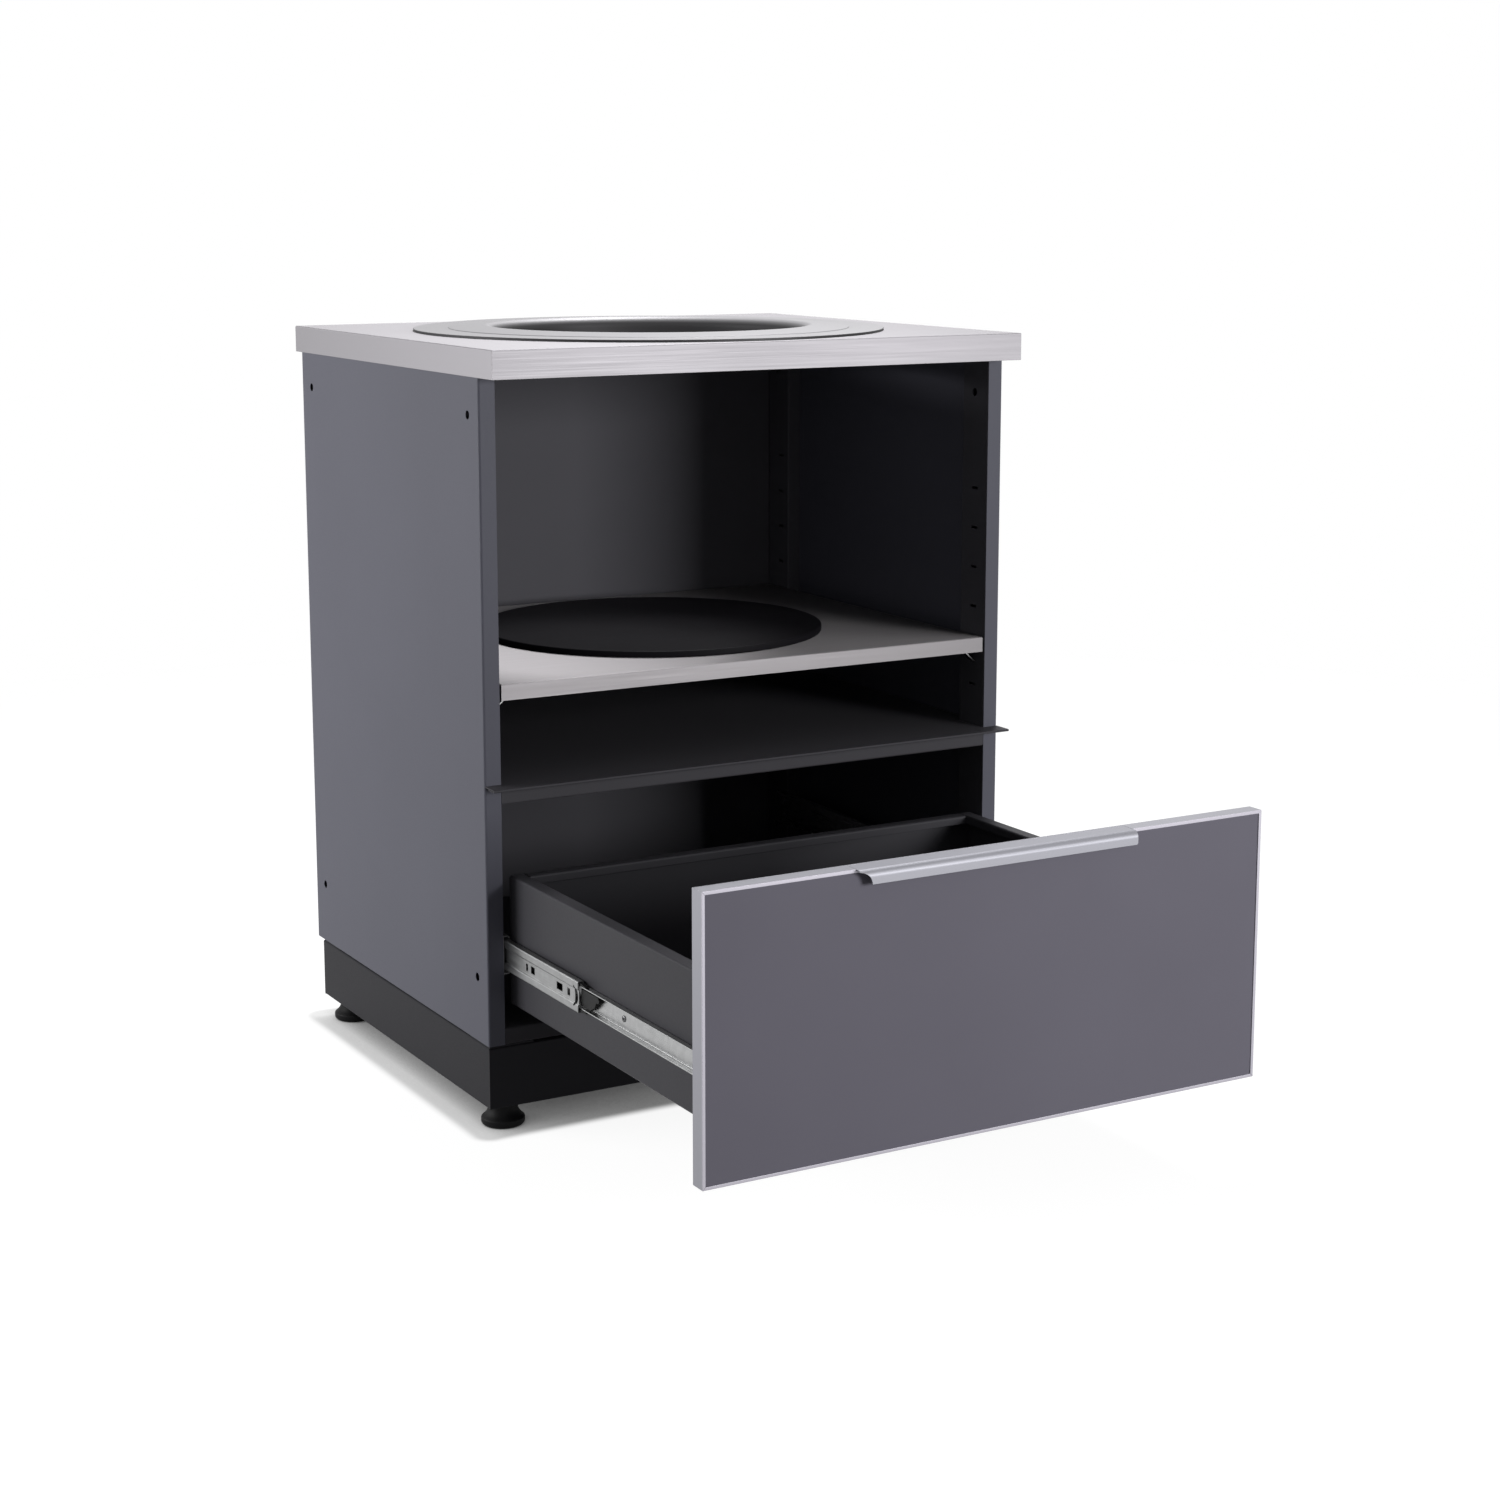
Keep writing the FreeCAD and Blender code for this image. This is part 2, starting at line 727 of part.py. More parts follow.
def slide_latch():
    # Release lever lying in the drawer member, with a finger lobe at the top of its front end
    bed = slide_thickness - slide_sheet
    rear = middle_front - latch_rear_gap
    half = latch_height / 2.0
    place = lambda reach, height: V(bed - inner_side, rear - reach * latch_length,
                                    slide_center + height * half)
    outline = [(0.0, -1.0), (0.50, -1.0), (0.75, -0.35), (0.84, 0.25), (0.97, 0.30), (1.0, 0.65), (0.92, 1.0),
               (0.0, 1.0)]
    return outline_face(outline, place).extrude(V(-latch_depth, 0, 0))


def many_sided(apothem, height):
    # Regular prism around the origin, with two sides square to each axis
    corner = apothem / math.cos(math.pi / ball_sides)
    angles = [math.pi * (2.0 * side + 1.0) / ball_sides for side in range(ball_sides)]
    outline = [(corner * math.cos(angle), corner * math.sin(angle)) for angle in angles]
    return outline_face(outline, plan_at(-height / 2.0)).extrude(V(0, 0, height))


def ball():
    # Ball with flats, from three crossing prisms
    prism = many_sided(ball_radius, 2.0 * ball_radius)
    origin = V(0, 0, 0)
    for axis in (V(1, 0, 0), V(0, 1, 0)):
        prism = prism.common(many_sided(ball_radius, 2.0 * ball_radius).rotated(origin, axis, 90.0))
    return prism


def ball_cage(depth, low_face, rows_front, rows_back):
    # Strip above and below, each with a row of balls held in pockets
    height = low_face + ball_space / 2.0
    pitch = (rows_back - rows_front) / balls_per_row
    pocket = many_sided(ball_radius + cage_bore_clearance, 2.0 * cage_height)
    one_ball = ball()
    pieces = []
    for side in (1.0, -1.0):
        middle = slide_center + side * height
        x = -inner_side + depth
        strip = block((x - cage_width / 2.0, rows_front, middle - cage_height / 2.0),
                      (x + cage_width / 2.0, rows_back, middle + cage_height / 2.0))
        centers = [V(x, rows_front + pitch * (step + 0.5), middle) for step in range(balls_per_row)]
        pieces.append(strip.cut([pocket.translated(center) for center in centers]))
        pieces += [one_ball.translated(center) for center in centers]
    return Part.makeCompound(pieces)


def outer_ball_cage():
    return ball_cage(outer_ball_depth, middle_half, slide_front + cage_end_gap, middle_back - cage_end_gap)


def inner_ball_cage():
    return ball_cage(inner_ball_depth, inner_half, middle_front + cage_end_gap, inner_back - cage_end_gap)


# Drawer box

def drawer_left_side():
    flange = -box_half + box_top_flange
    foot_flange = -box_half + box_foot_flange
    section = [(flange, box_top - box_top_return), (flange, box_top), (-box_half, box_top),
               (-box_half, box_foot), (foot_flange, box_foot)]
    start = front_back + box_sheet
    length = box_length - 2.0 * box_sheet
    return folded_sheet(section, box_sheet, fold_radius, front_view_at(start), V(0, length, 0))


def box_end(outer, inward):
    # End wall across the full box, with a top flange that fits between the sides' flanges
    half = box_half - box_top_flange - fit_gap
    tip = outer + inward * box_top_flange
    section = [(outer, box_foot), (outer, box_top), (tip, box_top), (tip, box_top - box_top_return)]
    wall = folded_sheet(section, -inward * box_sheet, fold_radius, side_view_at(-half), V(2.0 * half, 0, 0))
    ys = sorted((outer, outer + inward * box_sheet))
    wing_top = box_top - box_sheet - fold_radius
    wings = block((-box_half, ys[0], box_foot), (box_half, ys[1], wing_top))
    return fuse(wall, wings)


def drawer_back():
    return box_end(box_back, -1.0)


def drawer_box_front():
    return box_end(front_back, 1.0)


def drawer_bottom():
    half = box_half - box_sheet - fold_radius - fit_gap
    low = (-half, front_back + box_sheet + fit_gap, box_foot + box_sheet)
    high = (half, box_back - box_sheet - fit_gap, box_foot + 2.0 * box_sheet)
    return block(low, high)


# Drawer front

def front_layer(near_y, far_y):
    low = (-front_half + frame_wall, near_y, front_foot + frame_wall)
    high = (front_half - frame_wall, far_y, front_top - frame_top_wall)
    return block(low, high)


def drawer_face_panel():
    return front_layer(panel_front, core_front)


def drawer_front_core():
    return front_layer(core_front, core_back)


def drawer_front_liner():
    return front_layer(core_back, front_back)


def mitre(corner, way_x, way_z):
    # Wedge that takes away the end of an edge profile on one side of the corner's diagonal
    reach = front_thickness
    place = front_view_at(front_face - reach)
    outline = [corner, (corner[0] + way_x * reach, corner[1]),
               (corner[0] + way_x * reach, corner[1] + way_z * reach)]
    return outline_face(outline, place).extrude(V(0, 3.0 * reach, 0))


def frame_left():
    edge = -front_half
    section = [(edge, front_back), (edge, front_face), (edge + frame_lip_width, front_face),
               (edge + frame_lip_width, panel_front), (edge + frame_wall, panel_front),
               (edge + frame_wall, front_back)]
    profile = outline_face(section, plan_at(front_foot)).extrude(V(0, 0, front_height))
    return profile.cut([mitre((edge, front_foot), 1.0, 1.0), mitre((edge, front_top), 1.0, -1.0)])


def frame_level(edge, inward, wall):
    # Profile along the foot or the head of the front, mitred at both ends
    section = [(front_back, edge), (front_face, edge), (front_face, edge + inward * frame_lip_width),
               (panel_front, edge + inward * frame_lip_width), (panel_front, edge + inward * wall),
               (front_back, edge + inward * wall)]
    profile = outline_face(section, side_view_at(-front_half)).extrude(V(front_width, 0, 0))
    reach = front_thickness
    ends = []
    for way in (1.0, -1.0):
        corner = (-way * front_half, edge)
        outline = [corner, (corner[0], edge + inward * reach),
                   (corner[0] + way * reach, edge + inward * reach)]
        ends.append(outline_face(outline, front_view_at(front_face - reach)).extrude(V(0, 3.0 * reach, 0)))
    return profile.cut(ends)


def drawer_frame_top():
    # The head profile has a shallow seat for the pull
    half = pull_width / 2.0 + fit_gap
    seat = block((-half, front_face - pull_sheet, front_top - pull_sheet),
                 (half, front_back - pull_back_gap + fit_gap, front_top + pull_sheet))
    return frame_level(front_top, -1.0, frame_top_wall).cut(seat)


def edge_pull():
    # Bent lip over the top edge: swept cove at its left end, small rounding at its right end
    lip_face = front_face - pull_reach
    lip_foot = front_top - pull_drop
    section = [(front_back - pull_back_gap, front_top), (lip_face, front_top), (lip_face, lip_foot)]
    start = -pull_width / 2.0
    lip = folded_sheet(section, pull_sheet, pull_fold, side_view_at(start), V(pull_width, 0, 0))
    cove_start = V(start, lip_face - pull_sheet, lip_foot)
    cove = Part.makeCylinder(pull_cove_radius, pull_reach + pull_sheet, cove_start, V(0, 1, 0))
    end = start + pull_width
    corner = edges_on(lip, lambda point: near(point.x, end) and near(point.z, lip_foot))
    return lip.makeFillet(pull_corner_radius, corner).cut(cove)


def drawer_bumpers():
    # Pads on the back of the front that meet the side panels' front flanges
    half = bumper_size / 2.0
    reach = front_back + closed_gap - fit_gap
    bumpers = []
    for z in (front_foot + bumper_height_inset, front_top - bumper_height_inset):
        for x in (-front_half + bumper_edge_inset, front_half - bumper_edge_inset):
            bumpers.append(block((x - half, front_back, z - half), (x + half, reach, z + half)))
    return Part.makeCompound(bumpers)


# Every piece by name

foot_rows = {"front": face + foot_inset, "rear": plinth_back_face - foot_inset}
foot_columns = {"left": -outer_side + foot_inset, "right": outer_side - foot_inset}

pieces = {
    "back_panel": back_panel(),
    "bottom_panel": bottom_panel(),
    "divider_shelf": divider_shelf(),
    "divider_rail": divider_rail(),
    "top_rear_rail": top_rear_rail(),
    "countertop": countertop(),
    "countertop_stiffeners": countertop_stiffeners(),
    "trim_ring": trim_ring(),
    "grill_shelf": grill_shelf(),
    "shelf_stiffener": shelf_stiffener(),
    "shelf_clips": shelf_clips(),
    "heat_plate": heat_plate(),
    "plinth_front": plinth_front(),
    "plinth_back": plinth_back(),
    "plinth_left": plinth_left(),
    "plinth_right": mirrored(plinth_left()),
    "plinth_corner_posts": plinth_corner_posts(),
    "foot_nuts": foot_nuts(),
    "drawer_left_side": drawer_left_side(),
    "drawer_right_side": mirrored(drawer_left_side()),
    "drawer_back": drawer_back(),
    "drawer_box_front": drawer_box_front(),
    "drawer_bottom": drawer_bottom(),
    "drawer_face_panel": drawer_face_panel(),
    "drawer_front_core": drawer_front_core(),
    "drawer_front_liner": drawer_front_liner(),
    "drawer_frame_left": frame_left(),
    "drawer_frame_right": mirrored(frame_left()),
    "drawer_frame_top": drawer_frame_top(),
    "drawer_frame_bottom": frame_level(front_foot, 1.0, frame_wall),
    "edge_pull": edge_pull(),
    "drawer_bumpers": drawer_bumpers(),
    "slide_latches": Part.makeCompound([slide_latch(), mirrored(slide_latch())]),
}

right_handed = {
    "side_panel": side_panel(),
    "upright_front": front_upright(),
    "upright_rear": rear_upright(),
}
pieces["right_side_panel"] = right_handed["side_panel"]
pieces["left_side_panel"] = mirrored(right_handed["side_panel"])
for end in ("front", "rear"):
    pieces[end + "_right_upright"] = right_handed["upright_" + end]
    pieces[end + "_left_upright"] = mirrored(right_handed["upright_" + end])
    for side in ("left", "right"):
        pieces[end + "_" + side + "_foot"] = levelling_foot(foot_columns[side], foot_rows[end])

left_handed = {
    "slide_cabinet_member": slide_cabinet_member(),
    "slide_middle_member": slide_middle_member(),
    "slide_drawer_member": slide_drawer_member(),
    "slide_end_guides": slide_end_guides(),
    "outer_ball_cage": outer_ball_cage(),
    "inner_ball_cage": inner_ball_cage(),
}
for name, shape in left_handed.items():
    pieces["left_" + name] = shape
    pieces["right_" + name] = mirrored(shape)

os.makedirs("parts", exist_ok=True)
for name, shape in pieces.items():
    shape.exportStep("parts/" + name + ".step")
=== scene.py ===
import json
import math
import bmesh
import bpy
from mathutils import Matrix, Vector

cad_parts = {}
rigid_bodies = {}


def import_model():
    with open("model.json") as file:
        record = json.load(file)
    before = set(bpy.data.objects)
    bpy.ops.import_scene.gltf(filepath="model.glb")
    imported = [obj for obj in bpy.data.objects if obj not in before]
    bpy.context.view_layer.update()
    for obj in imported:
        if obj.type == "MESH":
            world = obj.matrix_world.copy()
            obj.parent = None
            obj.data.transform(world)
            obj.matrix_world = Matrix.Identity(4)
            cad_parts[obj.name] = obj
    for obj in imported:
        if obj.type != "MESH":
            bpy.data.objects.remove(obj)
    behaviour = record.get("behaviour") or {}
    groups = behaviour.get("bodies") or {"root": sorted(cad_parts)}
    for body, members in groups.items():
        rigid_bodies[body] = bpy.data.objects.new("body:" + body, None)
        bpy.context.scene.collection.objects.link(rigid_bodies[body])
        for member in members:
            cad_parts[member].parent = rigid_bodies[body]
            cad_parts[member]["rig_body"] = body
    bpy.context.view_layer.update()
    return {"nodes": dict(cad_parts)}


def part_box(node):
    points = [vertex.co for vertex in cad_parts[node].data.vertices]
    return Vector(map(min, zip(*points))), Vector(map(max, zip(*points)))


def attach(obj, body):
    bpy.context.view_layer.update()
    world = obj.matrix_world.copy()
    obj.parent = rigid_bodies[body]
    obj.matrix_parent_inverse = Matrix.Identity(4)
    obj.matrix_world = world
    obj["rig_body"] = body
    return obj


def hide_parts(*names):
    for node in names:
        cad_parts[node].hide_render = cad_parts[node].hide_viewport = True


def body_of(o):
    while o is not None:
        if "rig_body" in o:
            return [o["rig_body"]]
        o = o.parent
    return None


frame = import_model()
nodes = frame["nodes"]
print("frame loaded:", len(nodes), "nodes")


# Node helpers: every finish reads Object coordinates, so it stays put when a piece moves

def newFinish(name, metallic=0.0):
    mat = bpy.data.materials.new(name)
    mat.use_nodes = True
    shader = mat.node_tree.nodes["Principled BSDF"]
    shader.inputs["Metallic"].default_value = metallic
    coords = mat.node_tree.nodes.new("ShaderNodeTexCoord")
    return mat, mat.node_tree, shader, coords.outputs["Object"]


def mapped(tree, coords, scale=(1, 1, 1), move=(0, 0, 0)):
    node = tree.nodes.new("ShaderNodeMapping")
    node.vector_type = "POINT"
    node.inputs["Scale"].default_value = scale
    node.inputs["Location"].default_value = move
    tree.links.new(coords, node.inputs["Vector"])
    return node.outputs["Vector"]


def maths(tree, operation, *values):
    # Each value is a number or another node's output
    node = tree.nodes.new("ShaderNodeMath")
    node.operation = operation
    for socket, value in zip(node.inputs, values):
        if isinstance(value, (int, float)):
            socket.default_value = value
        else:
            tree.links.new(value, socket)
    return node.outputs["Value"]


def vectorMaths(tree, operation, vector, second=(0, 0, 0)):
    node = tree.nodes.new("ShaderNodeVectorMath")
    node.operation = operation
    node.inputs[1].default_value = second
    tree.links.new(vector, node.inputs[0])
    return node.outputs["Value" if operation == "LENGTH" else "Vector"]


def partAlong(tree, vector, axis):
    split = tree.nodes.new("ShaderNodeSeparateXYZ")
    tree.links.new(vector, split.inputs[0])
    return split.outputs[axis]


def aroundAxis(tree, coords, middle):
    # Radius about an upright axis as X and height as Z, for marks that run round a turned piece
    centred = mapped(tree, coords, move=(-middle[0], -middle[1], 0))
    joined = tree.nodes.new("ShaderNodeCombineXYZ")
    radius = vectorMaths(tree, "LENGTH", mapped(tree, centred, (1, 1, 0)))
    tree.links.new(radius, joined.inputs["X"])
    tree.links.new(partAlong(tree, centred, "Z"), joined.inputs["Z"])
    return joined.outputs["Vector"]


def noise(tree, vector, scale=1.0, detail=2.0, roughness=0.5):
    node = tree.nodes.new("ShaderNodeTexNoise")
    node.inputs["Scale"].default_value = scale
    node.inputs["Detail"].default_value = detail
    node.inputs["Roughness"].default_value = roughness
    tree.links.new(vector, node.inputs["Vector"])
    return node.outputs["Fac"]


def ranged(tree, value, low, high, fromLow=0.3, fromHigh=0.7):
    node = tree.nodes.new("ShaderNodeMapRange")
    node.inputs["From Min"].default_value = fromLow
    node.inputs["From Max"].default_value = fromHigh
    node.inputs["To Min"].default_value = low
    node.inputs["To Max"].default_value = high
    tree.links.new(value, node.inputs["Value"])
    return node.outputs["Result"]


def tint(tree, shader, value, darkColour, lightColour, fromLow=0.3, fromHigh=0.7):
    ramp = tree.nodes.new("ShaderNodeValToRGB")
    ramp.color_ramp.elements[0].position = fromLow
    ramp.color_ramp.elements[0].color = (*darkColour, 1)
    ramp.color_ramp.elements[1].position = fromHigh
    ramp.color_ramp.elements[1].color = (*lightColour, 1)
    tree.links.new(value, ramp.inputs["Fac"])
    tree.links.new(ramp.outputs["Color"], shader.inputs["Base Color"])


def roughen(tree, shader, value, low, high, fromLow=0.3, fromHigh=0.7):
    tree.links.new(ranged(tree, value, low, high, fromLow, fromHigh), shader.inputs["Roughness"])


def bump(tree, shader, height, strength, distance):
    node = tree.nodes.new("ShaderNodeBump")
    node.inputs["Strength"].default_value = strength
    node.inputs["Distance"].default_value = distance
    tree.links.new(height, node.inputs["Height"])
    tree.links.new(node.outputs["Normal"], shader.inputs["Normal"])


def shaded(colour, share):
    return tuple(channel * share for channel in colour)


# Finishes: marks are counts to the metre along each axis, and distances are in metres

def powderCoat(name, colour, roughness, gloss, grain):
    # gloss: specular level, grain: size of the sprayed skin's orange peel
    mat, tree, shader, coords = newFinish(name)
    shader.inputs["Specular IOR Level"].default_value = gloss
    cloud = noise(tree, coords, scale=5.0, detail=3.0)
    skin = noise(tree, coords, scale=1.0 / grain)
    tint(tree, shader, cloud, shaded(colour, 0.97), shaded(colour, 1.03))
    roughen(tree, shader, skin, roughness - 0.04, roughness + 0.04)
    bump(tree, shader, skin, strength=0.10, distance=grain * 0.10)
    return mat


def brushedSteel(name, colour, roughness, marks, spread=0.0):
    # spread: how far strokes along X, or along Y on the end faces, draw the highlights out across themselves
    mat, tree, shader, coords = newFinish(name, metallic=1.0)
    if spread:
        mostlyAlongX = (1, 0.05, 0)
        across = vectorMaths(tree, "CROSS_PRODUCT", coords.node.outputs["Normal"], mostlyAlongX)
        tree.links.new(across, shader.inputs["Tangent"])
        shader.inputs["Anisotropic"].default_value = spread
    strokes = noise(tree, mapped(tree, coords, marks), detail=3.0, roughness=0.65)
    cloud = noise(tree, coords, scale=4.0)
    wear = maths(tree, "MULTIPLY_ADD", cloud, 0.35, strokes)
    tint(tree, shader, strokes, shaded(colour, 0.95), shaded(colour, 1.04))
    roughen(tree, shader, wear, roughness - 0.05, roughness + 0.07, fromLow=0.45, fromHigh=0.9)
    bump(tree, shader, strokes, strength=0.08, distance=0.0003)
    return mat


def spunSteel(name, colour, roughness, middle, marks, collarEnd, rimStart, paintedShadeShare):
    # Polishing lines run round the axis; the collar and the rim's outer edge are painted dark: painted shade
    # for the dark bore and the shadow line under the rim
    # collarEnd, rimStart: radii between which the painted shade and the bright steel meet; the last argument
    # is the painted shade's share of the colour
    mat, tree, shader, coords = newFinish(name, metallic=1.0)
    around = aroundAxis(tree, coords, middle)
    lines = noise(tree, mapped(tree, around, marks), detail=3.0, roughness=0.6)
    cloud = noise(tree, coords, scale=5.0)
    radius = partAlong(tree, around, "X")
    pastCollar = ranged(tree, radius, 0.0, 1.0, *collarEnd)
    insideRim = ranged(tree, radius, 1.0, 0.0, *rimStart)
    polishOverPaintedShade = maths(tree, "MULTIPLY_ADD", lines, 0.12, maths(tree, "MULTIPLY", pastCollar, insideRim))
    wear = maths(tree, "MULTIPLY_ADD", cloud, 0.4, lines)
    tint(tree, shader, polishOverPaintedShade, shaded(colour, paintedShadeShare), colour, fromLow=0.05, fromHigh=1.0)
    roughen(tree, shader, wear, roughness - 0.04, roughness + 0.08, fromLow=0.45, fromHigh=0.95)
    bump(tree, shader, lines, strength=0.06, distance=0.0002)
    return mat


def edgeProfile(name, colour, lipHighlightColour, roughness, marks, lipEnd):
    # Drawn aluminium whose front lip is painted lighter, a painted highlight where the lip catches the light;
    # lipEnd: depths between which the lip ends
    mat, tree, shader, coords = newFinish(name, metallic=1.0)
    strokes = noise(tree, mapped(tree, coords, marks), detail=3.0, roughness=0.65)
    lip = ranged(tree, partAlong(tree, coords, "Y"), 1.0, 0.0, *lipEnd)
    paintedLipHighlight = maths(tree, "MULTIPLY_ADD", strokes, 0.12, lip)
    tint(tree, shader, paintedLipHighlight, colour, lipHighlightColour, fromLow=0.03, fromHigh=1.0)
    roughen(tree, shader, strokes, roughness - 0.05, roughness + 0.07)
    bump(tree, shader, strokes, strength=0.08, distance=0.0003)
    return mat


def zincPlate(name, colour, roughness, marks):
    mat, tree, shader, coords = newFinish(name, metallic=1.0)
    bloom = noise(tree, coords, scale=90.0, detail=4.0, roughness=0.6)
    rolled = noise(tree, mapped(tree, coords, marks))
    tint(tree, shader, bloom, shaded(colour, 0.88), shaded(colour, 1.06))
    roughen(tree, shader, rolled, roughness - 0.05, roughness + 0.09)
    bump(tree, shader, rolled, strength=0.06, distance=0.0003)
    return mat


def mouldedPlastic(name, colour, roughness, gloss):
    mat, tree, shader, coords = newFinish(name)
    shader.inputs["Specular IOR Level"].default_value = gloss
    spark = noise(tree, coords, scale=1500.0, detail=1.0)
    flow = noise(tree, coords, scale=60.0, detail=3.0)
    tint(tree, shader, flow, shaded(colour, 0.8), shaded(colour, 1.2))
    roughen(tree, shader, spark, roughness - 0.06, roughness + 0.08)
    bump(tree, shader, spark, strength=0.15, distance=0.0002)
    return mat


def castPlate(name, colour, roughness, gloss, middle, marks):
    # Sandy skin with faint turned rings about the plate's own middle
    mat, tree, shader, coords = newFinish(name)
    shader.inputs["Specular IOR Level"].default_value = gloss
    rings = noise(tree, mapped(tree, aroundAxis(tree, coords, middle), marks))
    sand = noise(tree, coords, scale=900.0, detail=3.0)
    cloud = noise(tree, coords, scale=7.0, detail=4.0)
    tint(tree, shader, cloud, shaded(colour, 0.85), shaded(colour, 1.2))
    roughen(tree, shader, cloud, roughness - 0.05, roughness + 0.07)
    bump(tree, shader, maths(tree, "MULTIPLY_ADD", rings, 0.3, sand), strength=0.2, distance=0.0003)
    return mat


def chipBoard(name, pale, dark):
    mat, tree, shader, coords = newFinish(name)
    chips = tree.nodes.new("ShaderNodeTexVoronoi")
    chips.inputs["Scale"].default_value = 350.0
    tree.links.new(mapped(tree, coords, (0.5, 1, 0.7)), chips.inputs["Vector"])
    fromMiddle = chips.outputs["Distance"]
    tint(tree, shader, fromMiddle, dark, pale, fromLow=0.1, fromHigh=0.8)
    roughen(tree, shader, fromMiddle, 0.7, 0.9, fromLow=0.0, fromHigh=1.0)
    bump(tree, shader, fromMiddle, strength=0.2, distance=0.0004)
    return mat


def softRubber(name, colour):
    mat, tree, shader, coords = newFinish(name)
    dust = noise(tree, coords, scale=400.0, detail=3.0)
    tint(tree, shader, dust, shaded(colour, 0.8), shaded(colour, 1.3))
    roughen(tree, shader, dust, 0.7, 0.85)
    bump(tree, shader, dust, strength=0.15, distance=0.0002)
    return mat


def polishedSteel(name, colour):
    mat, tree, shader, coords = newFinish(name, metallic=1.0)
    film = noise(tree, coords, scale=700.0)
    tint(tree, shader, film, shaded(colour, 0.9), colour)
    roughen(tree, shader, film, 0.08, 0.2)
    return mat


def middleOf(node):
    low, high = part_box(node)
    return (low + high) / 2


sheetGrain = 0.0016
brushedAlongX = (6, 900, 900)
drawnAlongX = (5, 1400, 1400)
drawnAlongZ = (1400, 1400, 5)
rolledAlongY = (600, 12, 600)
# the frame's front lip: a painted highlight, lighter than the rest of the frame
lipHighlightColour = (0.345, 0.333, 0.372)
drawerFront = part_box("drawer_frame_top")[0].y
lipEnd = (drawerFront + 0.00095, drawerFront + 0.00145)  # the lip is about 1.2 mm deep

finishes = {
    "carcass": powderCoat("carcassCoat", (0.106, 0.107, 0.134),
                          roughness=0.50, gloss=0.15, grain=sheetGrain),
    "inside": powderCoat("insideCoat", (0.105, 0.103, 0.116),
                         roughness=0.55, gloss=0.05, grain=sheetGrain),
    "plinth": powderCoat("plinthCoat", (0.018, 0.0175, 0.021),
                         roughness=0.50, gloss=0.08, grain=sheetGrain),
    "drawerBox": powderCoat("drawerBoxCoat", (0.052, 0.051, 0.058),
                            roughness=0.50, gloss=0.12, grain=sheetGrain),
    "drawerFace": powderCoat("drawerFaceCoat", (0.162, 0.155, 0.190),
                             roughness=0.55, gloss=0.08, grain=0.0010),
    # deck: a darker copy of the inside coat, painted shade for the shadow that falls on the divider and the
    # bottom panel
    "deck": powderCoat("deckPaintedShadeCoat", (0.070, 0.068, 0.076),
                       roughness=0.55, gloss=0.05, grain=sheetGrain),
    "worktop": brushedSteel("worktopSteel", (0.278, 0.269, 0.284),
                            roughness=0.57, marks=brushedAlongX, spread=0.4),
    "shelf": brushedSteel("shelfSteel", (0.185, 0.177, 0.183),
                          roughness=0.50, marks=brushedAlongX, spread=0.85),
    # ring: the collar and the rim's outer edge are painted dark, painted shade for the bore and the shadow
    # line under the rim
    "ring": spunSteel("ringSteel", (0.258, 0.254, 0.264),
                      roughness=0.55, middle=middleOf("trim_ring"), marks=(1300, 1, 1300),
                      collarEnd=(0.1932, 0.1985), rimStart=(0.2942, 0.2949), paintedShadeShare=0.20),
    "frameAcross": edgeProfile("frameAcross", (0.27, 0.27, 0.295), lipHighlightColour,
                               roughness=0.50, marks=drawnAlongX, lipEnd=lipEnd),
    "frameUpright": edgeProfile("frameUpright", (0.25, 0.25, 0.275), lipHighlightColour,
                                roughness=0.50, marks=drawnAlongZ, lipEnd=lipEnd),
    "pull": brushedSteel("pullAluminium", (0.25, 0.25, 0.275),
                         roughness=0.55, marks=drawnAlongX),
    "zinc": zincPlate("zincSteel", (0.37, 0.373, 0.375),
                      roughness=0.30, marks=rolledAlongY),
    "zincDull": zincPlate("zincDullSteel", (0.28, 0.283, 0.285),
                          roughness=0.33, marks=rolledAlongY),
    "plate": castPlate("heatPlateIron", (0.006, 0.0055, 0.007),
                       roughness=0.55, gloss=0.07, middle=middleOf("heat_plate"), marks=(420, 1, 420)),
    "core": chipBoard("frontCoreBoard", pale=(0.60, 0.48, 0.33), dark=(0.36, 0.26, 0.16)),
    "rubber": softRubber("bumperRubber", (0.03, 0.03, 0.03)),
    "plastic": mouldedPlastic("slidePlastic", (0.007, 0.007, 0.0075), roughness=0.45, gloss=0.12),
    "footPlastic": mouldedPlastic("footPlastic", (0.005, 0.005, 0.0055), roughness=0.55, gloss=0.12),
    "balls": polishedSteel("ballSteel", (0.72, 0.72, 0.73)),
    "screws": polishedSteel("screwSteel", (0.11, 0.11, 0.115)),
}
print("finishes made:", len(finishes))


# Every node by finish, with the rounding of its edges in metres, or None where it isn't a soft-edged copy

sheetEdge = 0.0003
thinEdge = 0.0002
trimEdge = 0.0004
mouldedEdge = 0.0009

